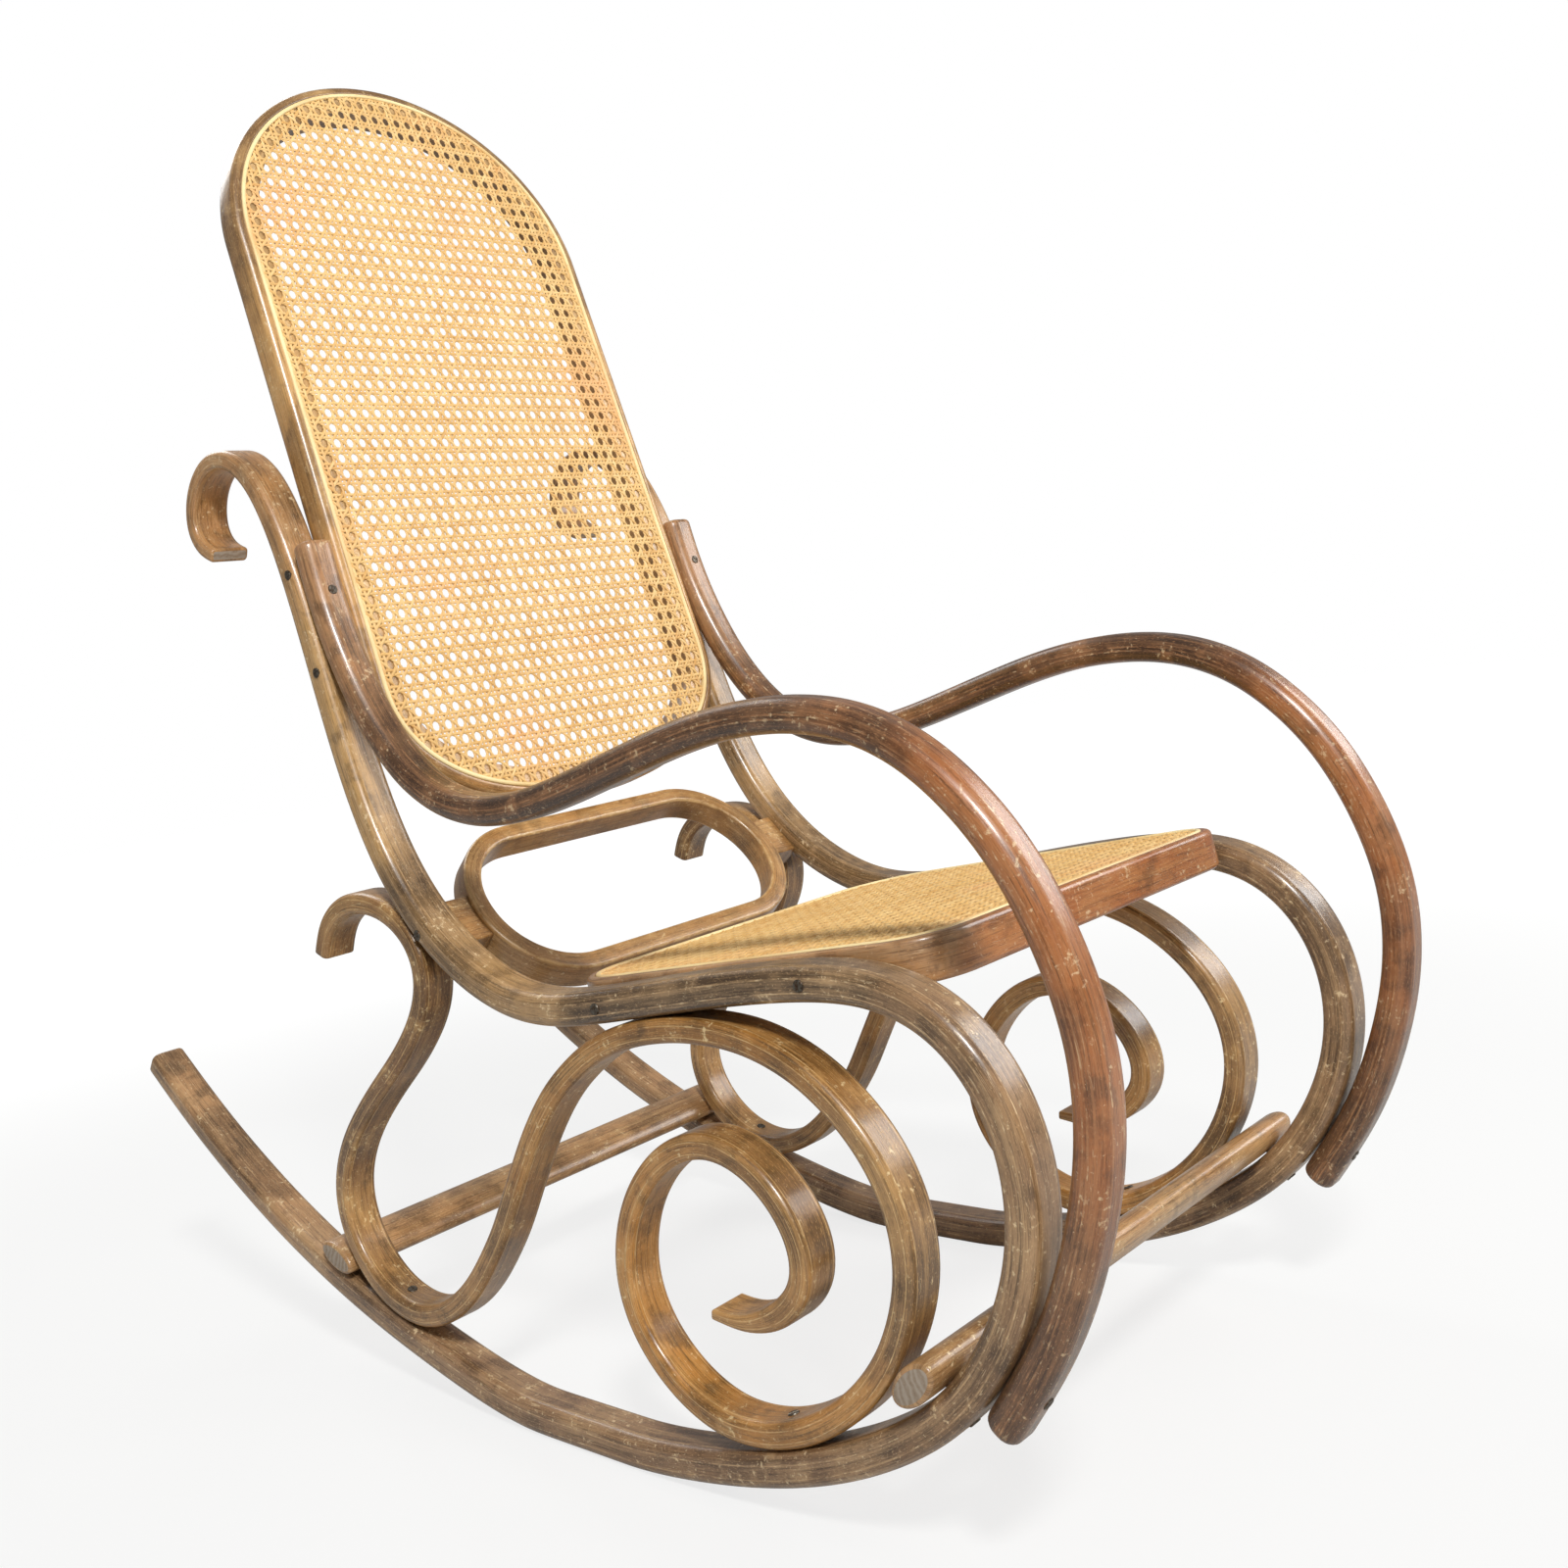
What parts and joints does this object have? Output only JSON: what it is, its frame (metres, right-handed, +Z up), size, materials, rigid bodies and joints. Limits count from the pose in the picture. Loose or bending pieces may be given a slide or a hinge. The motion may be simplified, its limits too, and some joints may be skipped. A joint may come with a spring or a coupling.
{
  "type": "bentwood rocking chair",
  "caption": "Bentwood rocking chair with curled back posts, looped arms, scrolled side frames, tall caned back and caned seat.",
  "frame": {"origin": "on the floor under the middle of the bounding box, at the level the rockers rest on", "axes": "the sitter faces -Y, +X is the sitter's left, +Z is up"},
  "size_m": [0.5, 1.1018, 1.1931],
  "materials": {
    "rocker_wood": "worn satin stain, greyish brown",
    "arm_wood": "worn satin stain, reddish brown",
    "scroll_wood": "satin stain, golden brown",
    "hoop_wood": "satin stain, light brown",
    "seat_wood": "satin stain, reddish brown",
    "stretcher_wood": "worn satin stain, pale end grain",
    "cane": "straw yellow woven cane",
    "spline": "straw yellow reed",
    "screw": "dull steel"
  },
  "bodies": {
    "root": {"back_hoop": "hoop_wood", "back_cane": "cane", "back_spline": "spline", "lower_back_ring": "hoop_wood", "ring_block_left": "hoop_wood", "ring_block_right": "hoop_wood", "seat_frame": "seat_wood", "seat_cane": "cane", "seat_spline": "spline", "front_stretcher": "stretcher_wood", "rear_stretcher": "stretcher_wood", "runner_left": "rocker_wood", "arm_left": "arm_wood", "scroll_left": "scroll_wood", "arm_top_screw_left": "screw", "arm_foot_screw_left": "screw", "scroll_post_screw_left": "screw", "scroll_rail_screw_left": "screw", "scroll_rear_screw_left": "screw", "scroll_front_screw_left": "screw", "seat_front_screw_left": "screw", "seat_rear_screw_left": "screw", "ring_screw_left": "screw", "hoop_low_screw_left": "screw", "hoop_high_screw_left": "screw", "front_stretcher_screw_left": "screw", "rear_stretcher_screw_left": "screw", "runner_right": "rocker_wood", "arm_right": "arm_wood", "scroll_right": "scroll_wood", "arm_top_screw_right": "screw", "arm_foot_screw_right": "screw", "scroll_post_screw_right": "screw", "scroll_rail_screw_right": "screw", "scroll_rear_screw_right": "screw", "scroll_front_screw_right": "screw", "seat_front_screw_right": "screw", "seat_rear_screw_right": "screw", "ring_screw_right": "screw", "hoop_low_screw_right": "screw", "hoop_high_screw_right": "screw", "front_stretcher_screw_right": "screw", "rear_stretcher_screw_right": "screw"}
  },
  "joints": []
}
